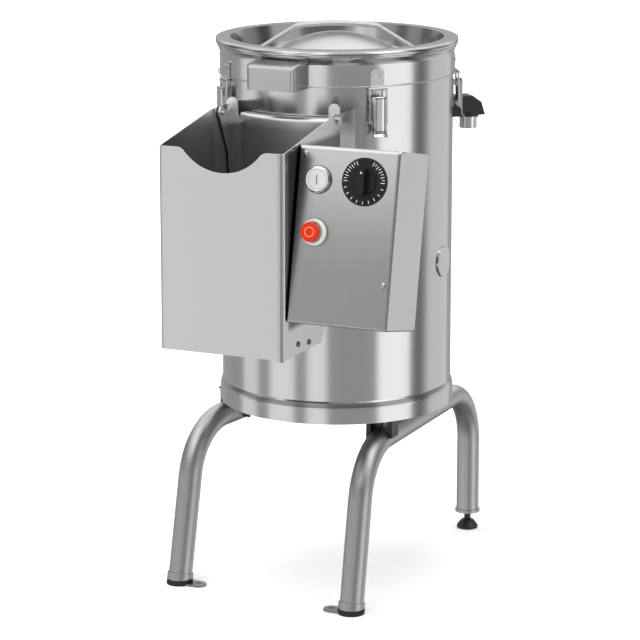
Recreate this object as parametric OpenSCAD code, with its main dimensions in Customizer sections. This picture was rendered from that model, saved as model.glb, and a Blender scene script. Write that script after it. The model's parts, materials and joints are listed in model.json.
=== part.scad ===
// Floor-standing potato peeler: a steel drum on three tube legs, with a discharge door and
// chute in front, a control box beside it and the drive in the drum's foot.
// The drum's axis is vertical, the front faces -Y and the feet stand on z = 0.

/* [Drum] */
// Outer radius of the drum
drum_r = 170; // [150:1:190]
// Visible height of the drum
drum_h = 457; // [430:1:500]
// Sheet thickness of the drum and of the sheet parts on it
sheet = 1.5; // [1:0.1:2]
// Height of the ring round the drum's foot
ring_h = 33; // [26:1:44]
// How far the foot ring stands proud of the drum
ring_out = 3.5; // [2:0.5:8]
// Height of the collar on the drum, up to its rolled rim
collar_h = 31; // [26:1:40]
// How far the collar stands proud of the drum
collar_out = 1.5; // [1:0.5:3]
// Height of the collar's rolled rim
rim_h = 12.5; // [9:0.5:16]
// How far the rolled rim stands proud of the collar
rim_out = 4; // [3:0.5:6]
// Depth of the collar's spigot in the drum
spigot_h = 10; // [6:1:16]

/* [Lid] */
// Outer radius of the lid's flange
lid_r = 177; // [172:1:182]
// Inner radius of the lid's flange
lid_flange_in_r = 156; // [148:1:160]
// Height of the flange's turned-down edge
lid_edge_h = 7.5; // [5:0.5:10]
// Depth of the trough below the flange
trough_depth = 27; // [18:1:32]
// Radius of the dome where it leaves the trough
dome_r = 96; // [84:1:104]
// Height of the dome above the trough
dome_h = 33; // [24:1:36]
// Half the length of the handle's level middle
handle_flat = 59; // [50:1:66]
// Slope of the handle's legs
handle_slope = 0.62; // [0.55:0.01:0.8]
// Height of the handle's top face above the flange
handle_rise = 20.5; // [14:0.5:30]
// Drop of the handle's middle from its top to the legs
handle_sag = 4; // [2:0.5:6]
// Width of the handle's strap
handle_w = 36; // [26:1:44]
// Thickness of the handle's strap
handle_t = 4; // [3:0.5:6]
// Direction of the handle, from the +X axis
handle_turn = 24; // [0:1:60]

/* [Bowl and drive] */
// Height of the bowl's floor above the foot ring
floor_rise = 140; // [130:1:150]
// Gap between the bowl's floor and the peeling disc
peel_gap = 34; // [30:1:40]
// Thickness of the abrasive lining
liner_t = 4; // [2:0.5:6]
// Radius of the peeling disc
disc_r = 158; // [150:1:160]
// Thickness of the peeling disc
disc_t = 8; // [6:0.5:12]
// Height of the waves on the peeling disc
wave_h = 9; // [5:0.5:14]
// Radius of the spindle
spindle_r = 10; // [8:0.5:12]
// Running clearance of shafts and pins, on the radius
run_gap = 0.05; // [0.02:0.01:0.08]
// Outer radius of the ball bearings
bearing_r = 23.5; // [20:0.5:26]
// Width of a ball bearing
bearing_w = 14; // [12:1:16]
// Outer radius of the bearing housing
housing_r = 31; // [29:1:33]
// Length of the bearing housing
housing_h = 84; // [70:1:90]
// Radius of the driven pulley
driven_r = 52; // [44:1:56]
// Radius of the motor pulley
motor_pulley_r = 21; // [18:1:26]
// Width of both pulleys
pulley_w = 20; // [16:1:24]
// Distance between the spindle and the motor shaft
shaft_gap = 98; // [96:1:100]
// Radius of the motor's body
motor_r = 58; // [50:1:60]
// Height of the motor's body
motor_h = 78; // [66:1:84]
// Radius of the motor shaft
motor_shaft_r = 7; // [6:0.5:9]
// Thickness of the plate that carries the motor
motor_plate_t = 6; // [4:0.5:8]
// Height of the motor's plate above the foot ring
motor_plate_rise = 44; // [42:1:48]
// Inner radius of the drain spout
drain_r = 20; // [16:1:22]
// How far the drain spout stands out of the drum
drain_out = 42; // [30:1:60]

/* [Stand] */
// Height of the foot ring's lower edge above the floor
stand_h = 269; // [255:1:300]
// Outer radius of the leg tubes
tube_r = 17.5; // [15:0.5:20]
// Wall of the leg tubes
tube_wall = 2; // [1.5:0.1:3]
// Gap between the foot ring and the tubes under it
tube_gap = 17.5; // [14:0.5:24]
// Bend radius of the tubes' centre line
bend_r = 90; // [70:1:100]
// Splay of the two front legs from the vertical, in degrees
splay = 11; // [6:0.5:14]
// X of the front left foot
left_x = -182; // [-190:1:-175]
// Y of the front left foot
left_y = -168; // [-180:1:-160]
// Turn of the front left tube towards the drum, in degrees
left_turn = 8; // [4:0.5:12]
// Length of the front left tube's run under the drum
left_run = 196; // [170:1:210]
// X of the tube that makes the front right and rear legs
hoop_x = 108; // [100:1:116]
// Y of the front right foot
right_y = -193; // [-205:1:-180]
// Y of the rear foot
rear_y = 272; // [260:1:290]
// Height of the plastic caps on the front feet
cap_h = 16; // [12:1:20]
// Wall of the plastic caps
cap_wall = 2; // [1.5:0.5:3]
// Thickness of the floor tabs
tab_t = 3; // [2:0.5:5]
// Reach of a floor tab from the leg's centre to its hole
tab_reach = 31; // [28:1:40]
// Width of a floor tab
tab_w = 24; // [20:1:30]
// Radius of the hole in a floor tab
tab_hole_r = 4.5; // [3:0.5:6]
// Radius of the rear foot's pad
pad_r = 16.5; // [14:0.5:20]
// Height of the rear foot's pad
pad_h = 13; // [10:1:16]
// Height of the open stretch of stud at rest
stud_gap = 7; // [4:0.5:12]
// Radius of the rear foot's stud
stud_r = 5; // [4:0.5:6]

/* [Discharge door] */
// Half the angle that the door covers
door_half_angle = 23.5; // [22:0.5:25]
// Outer radius of the door
door_r = 188.5; // [184:0.5:192]
// Depth of the door, from its face back to the drum's seal
door_depth = 15; // [10:0.5:16]
// Height of the door's top edge under the collar's lower edge
door_top_drop = 42; // [36:1:50]
// Height of the door
door_h = 212; // [190:1:220]
// Distance from the door's hinge line to the drum's axis
hinge_y = 208; // [204:1:214]
// Height of the hinge line above the door's top edge
hinge_rise = 3.5; // [0:0.5:8]
// Radius of the hinge pins
pin_r = 3; // [2.5:0.5:4]
// Half the distance between the door's two cheeks, outside
cheek_x = 88; // [86:0.5:90]
// Height of the ears above the door's top edge
ear_h = 24; // [15:1:28]
// Width of the ears
ear_w = 17; // [12:1:18]

/* [Chute] */
// Outer width of the chute
chute_w = 186; // [182:1:200]
// Distance from the drum's axis to the chute's front
chute_y = 389; // [370:1:400]
// Height of the chute's front sheet
chute_front_h = 284; // [250:1:300]
// Top of the chute's front under the collar's lower edge
chute_top_drop = 58; // [50:1:70]
// Extra height of the side walls at the back
chute_back_rise = 27; // [15:1:32]
// Length of the level part of the side walls' top
chute_level = 29; // [20:1:40]
// Y where the side walls end at the top, in front of the drum's axis
chute_back_y = 201; // [198:1:212]
// Lowest point of the scoop under the front's top edge
scoop_depth = 32; // [20:1:45]
// Radius of the scoop
scoop_r = 74; // [64:1:84]
// Radius of the scoop's shoulders
shoulder_r = 14; // [8:1:20]
// Width of the strip that laps over the front sheet
lap_w = 12; // [8:1:16]
// Width of the brackets' flange on the drum
flange_w = 13; // [10:1:16]
// Height of the chute brackets
bracket_h = 190; // [150:1:200]
// Radius of the screw heads
screw_head_r = 5; // [3.5:0.5:6]

/* [Control box] */
// Gap between the chute and the control box
box_gap = 3; // [2:0.5:8]
// Width of the control box
box_w = 146; // [130:1:160]
// Height of the control box's front
box_h = 241; // [220:1:260]
// Depth of the control box
box_d = 99; // [90:1:105]
// Tilt of the control box, in degrees
box_tilt = 11.3; // [8:0.1:13]
// Top of the control box under the collar's lower edge
box_top_drop = 51.5; // [45:0.5:65]
// Distance from the drum's axis to the box's top front edge
box_y = 338; // [330:1:345]
// Radius of the cover's rear corners
box_corner_r = 7; // [4:0.5:10]
// Distance from the box's left side to the push buttons
button_x = 29.5; // [26:0.5:34]
// Distance from the box's top edge to the start button
start_drop = 45.5; // [40:0.5:52]
// Distance from the box's top edge to the stop button
stop_drop = 116.5; // [105:0.5:125]
// Outer radius of the button bezels
bezel_r = 18.5; // [16:0.5:20]
// Radius of the button caps
cap_r = 13.5; // [11:0.5:15]
// Travel of the buttons
button_travel = 4; // [3:0.5:5]
// Distance from the box's left side to the timer
timer_x = 96.5; // [90:0.5:104]
// Distance from the box's top edge to the timer
timer_drop = 44; // [40:0.5:52]
// Radius of the timer's scale
scale_r = 32.5; // [28:0.5:34]
// Radius of the timer knob's skirt
knob_r = 18; // [15:0.5:21]
// Height of the timer knob
knob_h = 15; // [12:0.5:20]
// Width of the duct between the box and the drum
duct_w = 40; // [30:1:46]
// Height of the duct
duct_h = 110; // [90:1:120]

/* [Latches and fittings] */
// Angle of the front latches from the front, in degrees
front_latch_angle = 42.8; // [40:0.1:50]
// Angle of the rear latches from the front, in degrees
rear_latch_angle = 120; // [112:1:135]
// Width of a latch lever
lever_w = 21; // [18:1:24]
// Length of a latch lever below its hinge
lever_l = 50; // [44:1:56]
// Distance from the lever's hinge down to the bail's pivot
bail_drop = 30; // [26:1:32]
// Distance from the hinge up to the catch bar
catch_rise = 18; // [16:1:24]
// Radius of the bail's wire
wire_r = 1.5; // [1.2:0.1:1.8]
// Distance of the lever's hinge from the drum
latch_stand = 9; // [8:0.5:12]
// Radius of the plug in the drum's side
plug_r = 22.5; // [18:0.5:26]
// Height of that plug above the foot ring
plug_rise = 219; // [200:1:240]
// Half the width of the switch cover on the collar
cover_half_w = 37.5; // [32:0.5:42]
// X of the switch cover's middle
cover_x = -7.5; // [-12:0.5:12]
// How far the switch cover stands out of the collar
cover_out = 45; // [36:1:48]
// Direction of the water valve, from the +X axis
valve_turn = 42; // [38:1:50]
// Height of the water valve's centre under the collar's lower edge
valve_drop = 60; // [54:1:66]

/* [Hidden] */
$fn = 72;
facet = 32;
fit = 0.3;
film = 0.01;

// Heights of the drum's parts
ring_z = stand_h;
drum_z = ring_z + ring_h;
collar_z = drum_z + drum_h;
rim_z = collar_z + collar_h;
rim_top = rim_z + rim_h;
lid_z = rim_top + fit;
lid_top = lid_z + lid_edge_h;
floor_z = ring_z + floor_rise;
disc_z = floor_z + peel_gap;
ring_r = drum_r + ring_out;
shell_in_r = drum_r - sheet;
collar_r = drum_r + collar_out;
// Drive
motor_plate_z = ring_z + motor_plate_rise;
pulley_z = ring_z + 14;
housing_z = floor_z - housing_h;
// Door
door_top = collar_z - door_top_drop;
door_z = door_top - door_h;
hinge_z = door_top + hinge_rise;
opening_half_angle = door_half_angle - 3.5;
// Chute
chute_top = collar_z - chute_top_drop;
chute_z = chute_top - chute_front_h;
wall_in_x = chute_w / 2 - sheet;
opening_z = door_z + 8;
// Control box
box_x = chute_w / 2 + box_gap;
box_top = collar_z - box_top_drop;
bezel_h = 7;
cap_t = 2.5;
// Grooves beside the folded edges
groove_w = 1.2;
groove_t = 0.9;
// The bends are this much slimmer than the straight tube
lap_in = 0.15;
// Stand
tube_z = ring_z - tube_gap - tube_r;
rear_tube_z = pad_h + stud_gap + 12;
// Latches
latch_angles = [-90 + front_latch_angle, -90 - front_latch_angle,
  -90 + rear_latch_angle, -90 - rear_latch_angle];
latch_r = drum_r + latch_stand;
catch_z = collar_z - 2;
latch_z = catch_z - catch_rise;
pivot_r = 2.5;
// The part's own origin is the centre of its bounding box, on the floor
x_low = left_x - tube_r - cap_wall;
x_high = box_x + box_w;
y_low = -chute_y - sheet;
y_high = rear_y + tube_r + cap_wall;
origin_x = (x_low + x_high) / 2;
origin_y = (y_low + y_high) / 2;

module placed() translate([-origin_x, -origin_y, 0]) children();

// A round tube standing on z = 0
module pipe(r, wall, h) difference() {
  cylinder(r = r, h = h);
  translate([0, 0, -1]) cylinder(r = r - wall, h = h + 2);
}

// A sector of a ring about the drum's axis, between two angles from +X
module ring_sector(r_in, r_out, h, a0, a1) {
  rotate([0, 0, a0]) rotate_extrude(angle = a1 - a0, $fn = 180)
    translate([r_in, 0]) square([r_out - r_in, h]);
}

module in_panel(x, drop, rise = 0) {
  translate([box_x, -box_y, box_top]) rotate([90 - box_tilt, 0, 0])
    translate([x, -drop, rise]) children();
}

// ---------------------------------------------------------------- drum and collar

module door_opening(depth) {
  ring_sector(drum_r - depth, drum_r + depth, door_top - 16 - opening_z,
    -90 - opening_half_angle, -90 + opening_half_angle);
}

module drum_shell() color("silver") placed() difference() {
  translate([0, 0, drum_z]) pipe(drum_r, sheet, drum_h, $fn = 180);
  translate([0, 0, opening_z]) door_opening(20);
  translate([0, 0, ring_z + plug_rise]) rotate([0, 90, 0])
    cylinder(r = plug_r - 5, h = drum_r + 10);
  translate([0, 0, floor_z + drain_r + 6]) rotate([-90, 0, 0])
    cylinder(r = drain_r + 1 + film, h = drum_r + 10);
  duct_hole();
  rotate([0, 0, valve_turn]) translate([0, 0, collar_z - valve_drop]) rotate([0, 90, 0])
    cylinder(r = 9, h = drum_r + 10);
  rotate([0, 0, 60]) translate([0, 0, ring_z + 60]) rotate([0, 90, 0])
    cylinder(r = 8, h = drum_r + 10);
}

module base_ring() color("silver") placed() rotate_extrude($fn = 180) difference() {
  union() {
    translate([shell_in_r, ring_z]) square([ring_r - shell_in_r, ring_h - 12]);
    polygon([[shell_in_r, ring_z + ring_h - 12.01], [ring_r, ring_z + ring_h - 12.01],
      [ring_r - 0.3, ring_z + ring_h - 9], [ring_r - 1.1, ring_z + ring_h - 5.5],
      [ring_r - 2.2, ring_z + ring_h - 2.3], [drum_r, ring_z + ring_h],
      [shell_in_r, ring_z + ring_h]]);
  }
  translate([0, ring_z - 1]) square([ring_r - 2 * sheet, ring_h - 6]);
}

module base_plate() color("dimgray") placed() translate([0, 0, ring_z]) difference() {
  cylinder(r = ring_r - 2 * sheet, h = 3, $fn = 180);
  for (i = [0 : 5]) rotate([0, 0, 60 * i + 15]) translate([driven_r + 62, 0, -1])
    cylinder(r = 9, h = 5);
  translate([0, 0, -1]) cylinder(r = driven_r - 20, h = 5);
}

module collar() color("silver") placed() rotate_extrude($fn = 180) {
  // spigot in the drum, seat on the drum's edge, wall and flared rim
  translate([shell_in_r - fit - sheet, collar_z - spigot_h]) square([sheet, spigot_h + 2]);
  translate([shell_in_r - fit - sheet, collar_z])
    square([collar_r - shell_in_r + fit + sheet, 2]);
  translate([collar_r - 2, collar_z]) square([2, collar_h + 1]);
  polygon([[collar_r - 2, rim_z], [collar_r, rim_z], [collar_r + rim_out * 0.2, rim_z + rim_h * 0.25],
    [collar_r + rim_out * 0.55, rim_z + rim_h * 0.5], [collar_r + rim_out * 0.9, rim_z + rim_h * 0.72],
    [collar_r + rim_out, rim_top - 2], [collar_r + rim_out * 0.8, rim_top], [collar_r - 3.5, rim_top],
    [collar_r - 4, rim_top - 1], [collar_r - 4, rim_top - 3], [collar_r - 2, rim_z + 4]]);
}

module collar_seal() color("black") placed() translate([0, 0, rim_top])
  pipe(collar_r + 2, 5, lid_top - sheet - run_gap - rim_top, $fn = 180);

// Pressed cover on the collar's front, open below, with rounded edges
module switch_cover() color("silver") placed() {
  low = collar_z - 2;
  difference() {
    cover_block(low, 0);
    cover_block(low - 5, sheet);
    translate([0, 0, low - 10]) cylinder(r = collar_r + film, h = 80, $fn = 180);
    translate([0, 0, rim_z - fit]) cylinder(r = collar_r + rim_out + fit, h = 30, $fn = 180);
  }
}

module cover_block(low, inset) {
  front = collar_r + cover_out - inset;
  edge = rim_z + 2 - inset;
  half = cover_half_w - inset;
  round_r = 7 - inset;
  slope = 7;
  intersection() {
    translate([cover_x, 0, low]) linear_extrude(80) hull() for (s = [-1, 1]) {
      translate([s * (half - round_r), -front + round_r]) circle(r = round_r, $fn = facet);
      translate([s * (half - 1), -collar_r + 34]) circle(r = 1, $fn = facet);
    }
    translate([cover_x - half - 2, 0, 0]) rotate([90, 0, 90]) linear_extrude(2 * half + 4)
      polygon(concat([[-front, low]],
        [for (i = [0 : 8]) let (a = 180 - i * (90 - slope) / 8)
          [-front + round_r + round_r * cos(a), edge - round_r + round_r * sin(a)]],
        [[-front + 90, edge + (90 - round_r) * tan(slope)], [-front + 90, low]]));
  }
}

module side_plug() color("silver") placed() translate([0, 0, ring_z + plug_rise])
  rotate([0, 90, 0]) {
    intersection() {
      translate([0, 0, drum_r - 30]) cylinder(r = plug_r, h = 60);
      rotate([0, -90, 0]) translate([0, 0, -40])
        difference() {
          cylinder(r = drum_r + 2.5, h = 80, $fn = 180);
          translate([0, 0, -1]) cylinder(r = drum_r + film, h = 82, $fn = 180);
        }
    }
    translate([0, 0, shell_in_r]) cylinder(r = plug_r - 5 - fit, h = sheet + 0.5);
  }

// ---------------------------------------------------------------- lid

module lid_profile() {
  wall = sheet;
  edge = lid_flange_in_r;
  low = lid_top - trough_depth;
  step = 4;
  dome_R = (dome_r * dome_r + dome_h * dome_h) / (2 * dome_h);
  // turned-down edge, flange, trough and the step round the dome
  polygon([[lid_r, lid_z], [lid_r, lid_top - 2], [lid_r - 0.6, lid_top - 0.6],
    [lid_r - 2, lid_top], [edge, lid_top], [edge - 6, low + wall], [dome_r + 11, low + wall],
    [dome_r + 7, low + step + wall], [dome_r - 9, low + step + wall], [dome_r - 9, low + step],
    [dome_r + 6.4, low + step], [dome_r + 10.4, low], [edge - 6 + wall, low],
    [edge + wall, lid_top - wall], [lid_r - wall - 1, lid_top - wall],
    [lid_r - wall, lid_top - 3], [lid_r - wall, lid_z]]);
  intersection() {
    translate([0, low + dome_h - dome_R]) difference() {
      circle(r = dome_R, $fn = 240);
      circle(r = dome_R - wall, $fn = 240);
    }
    translate([0, low + step]) square([dome_r + 2, dome_h]);
  }
}

module lid() color("silver") placed() rotate_extrude($fn = 180) lid_profile();

// Height of the handle's top line under its middle, at a distance from the middle
function handle_line(x) = x < handle_flat ? -handle_sag * pow(x / handle_flat, 2)
  : -handle_sag - (x - handle_flat) * handle_slope;

module lid_handle() color("silver") placed() rotate([0, 0, handle_turn]) {
  foot_z = lid_top - trough_depth + sheet;
  foot_t = handle_t - 0.5;
  top_z = lid_top + handle_rise;
  // where the strap's underside and its top meet the feet
  end = handle_flat + (top_z - handle_sag - foot_z - handle_t) / handle_slope;
  top_end = end + (handle_t - foot_t) / handle_slope;
  foot_end = end + 13;
  translate([0, handle_w / 2, 0]) rotate([90, 0, 0]) linear_extrude(handle_w)
    polygon(concat([[-foot_end, foot_z], [-foot_end, foot_z + foot_t]],
      [for (i = [-20 : 20]) let (x = top_end * i / 20) [x, top_z + handle_line(abs(x))]],
      [[foot_end, foot_z + foot_t], [foot_end, foot_z]],
      [for (i = [20 : -1 : -20]) let (x = end * i / 20)
        [x, top_z + handle_line(abs(x)) - handle_t]]));
}

// ---------------------------------------------------------------- bowl and drive

module bowl_floor() color("silver") placed() difference() {
  union() {
    translate([0, 0, floor_z]) cylinder(r = shell_in_r, h = 2, $fn = 180);
    translate([0, 0, floor_z]) cylinder(r = spindle_r + 9, h = 16);
  }
  translate([0, 0, floor_z - 1]) cylinder(r = spindle_r + 5, h = 30);
}

module bowl_liner() color("dimgray") placed() difference() {
  low = disc_z + disc_t + 7;
  translate([0, 0, low]) pipe(shell_in_r - film, liner_t, collar_z - spigot_h - 2 - low, $fn = 180);
  translate([0, 0, opening_z]) door_opening(30);
  rotate([0, 0, valve_turn]) translate([0, 0, collar_z - valve_drop]) rotate([0, 90, 0])
    cylinder(r = 9, h = drum_r + 10);
}

module drain_spout() color("silver") placed() translate([0, 0, floor_z + drain_r + 6])
  rotate([-90, 0, 0]) difference() {
    union() {
      translate([0, 0, shell_in_r]) cylinder(r = drain_r + 1, h = 8);
      // flange on the drum
      translate([0, 0, drum_r - 8]) cylinder(r = drain_r + 8, h = 12);
      translate([0, 0, drum_r + 3]) cylinder(r = drain_r + sheet, h = drain_out - 3);
    }
    translate([0, 0, shell_in_r - 1]) cylinder(r = drain_r, h = drain_out + 20);
    rotate([90, 0, 0]) difference() {
      cylinder(r = drum_r + film, h = 200, center = true, $fn = 180);
      rotate([-90, 0, 0]) translate([0, 0, 100]) cylinder(r = drain_r + 1, h = 100);
    }
    cylinder(r = drain_r + 20, h = shell_in_r);
  }

module peeling_disc() color("dimgray") placed() translate([0, 0, disc_z]) difference() {
  union() {
    cylinder(r = disc_r, h = disc_t, $fn = 120);
    translate([0, 0, -12]) cylinder(r = spindle_r + 14, h = 12 + film);
    // three rounded waves that throw the potatoes against the lining
    for (i = [0 : 2]) rotate([0, 0, 120 * i]) intersection() {
      translate([22, 0, disc_t - 26]) rotate([0, 90, 0]) scale([1, 1, 1])
        cylinder(r = 26 + wave_h, h = disc_r - 26, $fn = 60);
      cylinder(r = disc_r - 2, h = 40, $fn = 120);
    }
    translate([0, 0, disc_t - film]) cylinder(r = 24, h = wave_h + 3);
  }
  translate([0, 0, -13]) cylinder(r = spindle_r + film, h = 60);
  translate([0, 0, -40]) cylinder(r = disc_r + 5, h = 28);
}

module spindle() color("gray") placed() {
  bottom = pulley_z - 2;
  top = disc_z + disc_t + wave_h + 12;
  translate([0, 0, bottom]) cylinder(r = spindle_r, h = top - bottom);
  // collar that rests on the upper bearing, and the nut on the disc
  translate([0, 0, floor_z - 8]) cylinder(r = spindle_r + 3, h = 6);
  translate([0, 0, disc_z + disc_t + wave_h + 3]) cylinder(r = 15, h = 7, $fn = 6);
}

module bearing_housing() color("darkgray") placed() translate([0, 0, housing_z]) difference() {
  union() {
    cylinder(r = housing_r, h = housing_h);
    translate([0, 0, housing_h - 8]) cylinder(r = housing_r + 22, h = 8);
    for (i = [0 : 3]) rotate([0, 0, 90 * i + 45]) translate([0, -2.5, housing_h - 30])
      cube([housing_r + 16, 5, 26]);
  }
  translate([0, 0, -1]) cylinder(r = bearing_r + film, h = bearing_w + 1 + 2);
  translate([0, 0, 0]) cylinder(r = bearing_r - 4, h = housing_h + 1);
  translate([0, 0, housing_h - bearing_w - 12]) cylinder(r = bearing_r + film, h = 40);
}

module bearings() color("lightgray") placed() {
  for (z = [housing_z + 2, floor_z - bearing_w - 8]) translate([0, 0, z]) difference() {
    cylinder(r = bearing_r, h = bearing_w);
    translate([0, 0, -1]) cylinder(r = spindle_r + run_gap, h = bearing_w + 2);
    for (face = [-1, bearing_w - 1.5]) translate([0, 0, face]) difference() {
      cylinder(r = bearing_r - 4, h = 2.5);
      translate([0, 0, -1]) cylinder(r = spindle_r + 4, h = 5);
    }
  }
}

module shaft_seal() color("black") placed() translate([0, 0, floor_z + 16 - 8]) difference() {
  cylinder(r = spindle_r + 5 - film, h = 8);
  translate([0, 0, -1]) cylinder(r = spindle_r + run_gap, h = 10);
}

module pulley(r) difference() {
  cylinder(r = r, h = pulley_w);
  translate([0, 0, pulley_w / 2]) rotate_extrude() polygon([[r - 6, -2.5], [r + 1, -6],
    [r + 1, 6], [r - 6, 2.5]]);
}

module driven_pulley() color("darkgray") placed() translate([0, 0, pulley_z]) difference() {
  pulley(driven_r);
  translate([0, 0, -1]) cylinder(r = spindle_r + film, h = pulley_w + 2);
  for (face = [-1, pulley_w - 4]) translate([0, 0, face]) difference() {
    cylinder(r = driven_r - 12, h = 5);
    translate([0, 0, -1]) cylinder(r = spindle_r + 10, h = 7);
  }
}

module motor_pulley() color("darkgray") placed() translate([0, shaft_gap, pulley_z]) {
  pulley(motor_pulley_r);
  cylinder(r = motor_shaft_r, h = motor_plate_z + motor_plate_t + 50 - pulley_z);
}

module motor_plate() color("silver") placed() translate([0, 0, motor_plate_z]) difference() {
  cylinder(r = shell_in_r, h = motor_plate_t, $fn = 180);
  translate([0, 0, -1]) cylinder(r = housing_r + 4, h = 20);
  translate([0, shaft_gap, -1]) cylinder(r = motor_shaft_r + 4, h = 20);
  for (a = [200, 270, 340]) rotate([0, 0, a]) translate([110, 0, -1]) cylinder(r = 30, h = 20);
}

module motor() color("gray") placed() translate([0, shaft_gap, motor_plate_z + motor_plate_t])
  difference() {
    union() {
      cylinder(r = motor_r, h = 6);
      cylinder(r = motor_r - 4, h = motor_h);
      for (i = [0 : 23]) rotate([0, 0, 15 * i]) translate([motor_r - 6, -1.2, 10])
        cube([6, 2.4, motor_h - 24]);
      translate([0, 0, motor_h - 10]) cylinder(r = motor_r, h = 10);
    }
    translate([0, 0, -1]) cylinder(r = motor_shaft_r + run_gap, h = 52 + 1);
  }

// The belt's run round both pulleys, in their grooves
module drive_belt() color("black") placed() translate([0, 0, pulley_z + pulley_w / 2 - 3])
  linear_extrude(6) difference() {
    belt_line(1.5);
    belt_line(-3.5);
  }

module belt_line(extra) {
  a = acos((driven_r - motor_pulley_r) / shaft_gap);
  r0 = driven_r + extra;
  r1 = motor_pulley_r + extra;
  circle(r = r0);
  translate([0, shaft_gap]) circle(r = r1);
  polygon([[r0 * sin(a), r0 * cos(a)], [r1 * sin(a), shaft_gap + r1 * cos(a)],
    [-r1 * sin(a), shaft_gap + r1 * cos(a)], [-r0 * sin(a), r0 * cos(a)]]);
}

// ---------------------------------------------------------------- stand

// A bent leg: up from the foot, leaning by the splay, round the bend and along +Y
module leg_tube(lean, foot_z, run) {
  turn = 90 - lean;
  rise_z = tube_z - bend_r + bend_r * sin(lean);
  straight = (rise_z - foot_z) / cos(lean);
  top = [rise_z * tan(lean), rise_z];
  centre = [top[0] + bend_r * cos(lean), tube_z - bend_r];
  difference() {
    leg_solid(lean, straight, turn, top, centre, run, tube_r);
    leg_solid(lean, straight + 1, turn, top, centre, run + 1, tube_r - tube_wall);
  }
}

module leg_solid(lean, straight, turn, top, centre, run, r) {
  // the straight stretches reach a little way into the bend
  lap = 1;
  translate([0, top[0], top[1]]) rotate([-lean, 0, 0]) translate([0, 0, -straight])
    cylinder(r = r, h = straight + lap);
  translate([0, centre[0], centre[1]]) rotate([90, 0, 90]) rotate([0, 0, 90])
    rotate_extrude(angle = turn) translate([bend_r, 0]) circle(r = r - lap_in);
  translate([0, centre[0] - lap, tube_z]) rotate([-90, 0, 0]) cylinder(r = r, h = run + lap);
}

module leg_front_left() color("darkgray") placed() translate([left_x, left_y, 0])
  rotate([0, 0, -left_turn]) {
    leg_tube(splay, 4, left_run);
  }

module leg_hoop() color("darkgray") placed() {
  front_top = (tube_z - bend_r + bend_r * sin(splay)) * tan(splay) + bend_r * cos(splay);
  run = rear_y - right_y - front_top - bend_r;
  difference() {
    hoop_solid(run, 4, tube_r);
    hoop_solid(run, 3, tube_r - tube_wall);
  }
}

module hoop_solid(run, foot_z, r) {
  rise_z = tube_z - bend_r + bend_r * sin(splay);
  top = [rise_z * tan(splay), rise_z];
  centre = [top[0] + bend_r * cos(splay), tube_z - bend_r];
  rear_low = rear_tube_z - (4 - foot_z);
  translate([hoop_x, right_y, 0])
    leg_solid(splay, (rise_z - foot_z) / cos(splay), 90 - splay, top, centre, run + 1, r);
  translate([hoop_x, rear_y - bend_r, tube_z - bend_r]) rotate([90, 0, 90])
    rotate_extrude(angle = 90) translate([bend_r, 0]) circle(r = r - lap_in);
  translate([hoop_x, rear_y, rear_low]) cylinder(r = r, h = tube_z - bend_r + 1 - rear_low);
}

// Saddle brackets: a gusset beside the tube with a flange under the base plate
module leg_bracket(side) {
  w = 46;
  t = 3;
  translate([0, 0, ring_z - t]) translate([side > 0 ? -tube_r - 4 : -w + tube_r + 4, -14, 0])
    cube([w, 28, t]);
  difference() {
    translate([0, -t / 2, 0]) rotate([90, 0, 0]) translate([0, 0, -t]) linear_extrude(t)
      polygon([[side * -4, ring_z - t + film], [side * (w - tube_r - 4), ring_z - t + film],
        [side * (tube_r + 8), tube_z - 10], [side * 4, tube_z - 10]]);
    translate([0, -20, tube_z]) rotate([-90, 0, 0]) cylinder(r = tube_r, h = 40);
  }
  difference() {
    translate([-tube_r - 3, -12, tube_z + 4]) cube([2 * tube_r + 6, 24, ring_z - 3 - tube_z - 4 + film]);
    translate([0, -20, tube_z]) rotate([-90, 0, 0]) cylinder(r = tube_r, h = 40);
    translate([-tube_r + 4, -20, tube_z + tube_r - 6]) cube([2 * tube_r - 8, 40, 60]);
  }
}

module leg_brackets() color("black") placed() {
  translate([left_x, left_y, 0]) rotate([0, 0, -left_turn]) {
    translate([0, 155, 0]) leg_bracket(1);
    translate([0, 270, 0]) leg_bracket(1);
  }
  translate([hoop_x, 0, 0]) {
    translate([0, -80, 0]) leg_bracket(-1);
    translate([0, 90, 0]) leg_bracket(-1);
  }
}

module foot_cap() difference() {
  rotate([-splay, 0, 0]) union() {
    translate([0, 0, -6]) cylinder(r = tube_r + cap_wall, h = cap_h + 6);
  }
  rotate([-splay, 0, 0]) translate([0, 0, 4]) pipe(tube_r + film, tube_wall + 2 * film, 40);
  rotate([-splay, 0, 0]) translate([0, 0, 8]) cylinder(r = tube_r - tube_wall, h = 40);
  translate([0, 0, -40]) cube([120, 120, 80], center = true);
}

module tube_caps() color("black") placed() {
  translate([left_x, left_y, 0]) rotate([0, 0, -left_turn]) foot_cap();
  translate([hoop_x, right_y, 0]) foot_cap();
  // threaded insert in the rear leg
  translate([hoop_x, rear_y, rear_tube_z]) difference() {
    union() {
      translate([0, 0, -5]) cylinder(r = tube_r + cap_wall, h = 5);
      cylinder(r = tube_r - tube_wall - film, h = 22);
    }
    translate([0, 0, -6]) cylinder(r = stud_r + run_gap, h = 40);
  }
}

// Floor tabs: a flat lug from each front foot towards the other, with a hole
module floor_tab(turn) rotate([0, 0, turn]) difference() {
  union() {
    translate([0, -tab_w / 2, 0]) cube([tab_reach, tab_w, tab_t]);
    translate([tab_reach, 0, 0]) cylinder(r = tab_w / 2, h = tab_t);
  }
  translate([tab_reach, 0, -1]) cylinder(r = tab_hole_r, h = tab_t + 2);
  translate([0, 0, -1]) cylinder(r = tube_r + cap_wall + 1, h = 60);
}

module floor_tabs() color("silver") placed() {
  translate([left_x, left_y, 0]) floor_tab(0);
  translate([hoop_x, right_y, 0]) floor_tab(180);
}

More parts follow.
